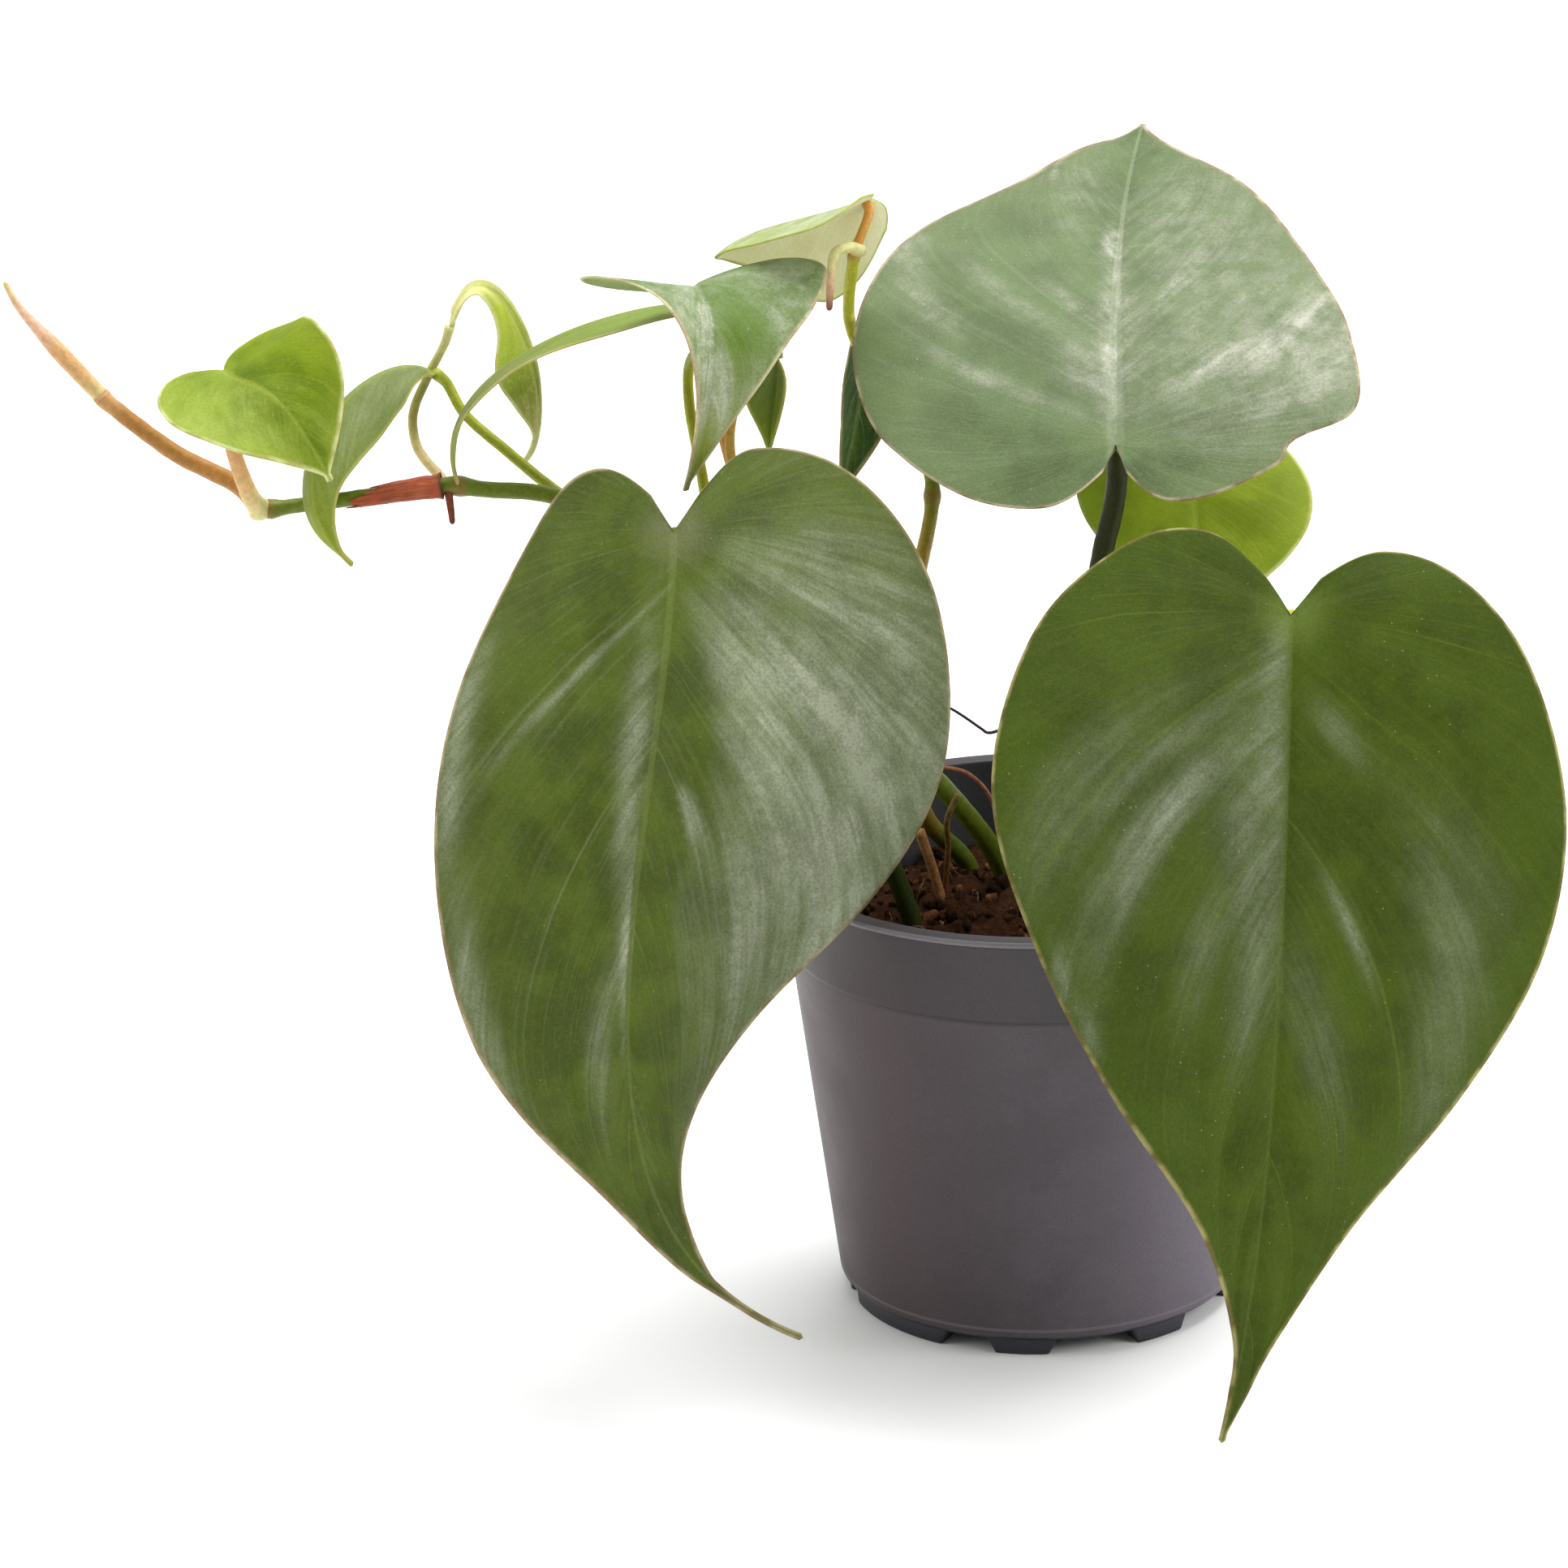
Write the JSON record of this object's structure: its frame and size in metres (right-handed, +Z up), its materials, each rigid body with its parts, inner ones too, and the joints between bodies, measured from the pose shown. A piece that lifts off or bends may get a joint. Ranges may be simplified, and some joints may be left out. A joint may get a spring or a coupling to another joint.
{
  "type": "potted heartleaf philodendron",
  "caption": "Young potted heartleaf philodendron with heart-shaped leaves on trailing and upright stems in a round grey nursery pot.",
  "frame": {"origin": "middle of the pot's underside, on the gate pad that stands level with its feet", "axes": "+Z up along the pot, -Y towards the side with the two large hanging leaves, +X to the right of that view, away from the trailing stem"},
  "size_m": [0.1657, 0.1094, 0.1238],
  "materials": {
    "pot_plastic": "satin, warm grey, lightly speckled with dust",
    "potting_soil": "damp dark crumbs",
    "leaf_mature": "waxy green with silvery streaks",
    "leaf_sheen": "waxy grey-green",
    "leaf_young": "soft yellow-green with a pale margin",
    "leaf_newest": "thin pale yellow-green",
    "stem": "smooth olive green",
    "petiole_mature": "smooth green with a darker base",
    "petiole_young": "smooth, olive to orange",
    "new_shoot": "smooth tan and pale green",
    "dry_sheath": "dry, rust brown",
    "aerial_root": "dull brown"
  },
  "bodies": {
    "root": {"pot": "pot_plastic", "soil": "potting_soil", "leaf_front_left": "leaf_mature", "leaf_front_right": "leaf_mature", "leaf_back_hanging": "leaf_mature", "leaf_top": "leaf_sheen", "leaf_centre": "leaf_sheen", "leaf_back_right": "leaf_young", "leaf_crown": "leaf_young", "leaf_far_left": "leaf_young", "leaf_left_hanging": "leaf_young", "leaf_left_folded": "leaf_young", "leaf_back_young": "leaf_young", "leaf_left_curled": "leaf_newest", "stem_trailing": "stem", "stem_upright": "stem", "petiole_front_left": "petiole_mature", "petiole_front_right": "petiole_mature", "petiole_top": "petiole_mature", "petiole_back_right": "petiole_mature", "petiole_crown": "petiole_young", "petiole_centre": "petiole_young", "petiole_far_left": "petiole_young", "petiole_left_hanging": "petiole_young", "petiole_left_curled": "petiole_young", "petiole_left_folded": "petiole_young", "petiole_back_hanging": "petiole_young", "petiole_back_young": "petiole_young", "shoot_internode": "new_shoot", "shoot_sheath": "new_shoot", "bud_sheath": "new_shoot", "dry_sheath": "dry_sheath", "root_arch": "aerial_root", "root_orange": "aerial_root", "root_olive": "aerial_root", "root_brown": "aerial_root", "root_stub": "aerial_root"}
  },
  "joints": []
}
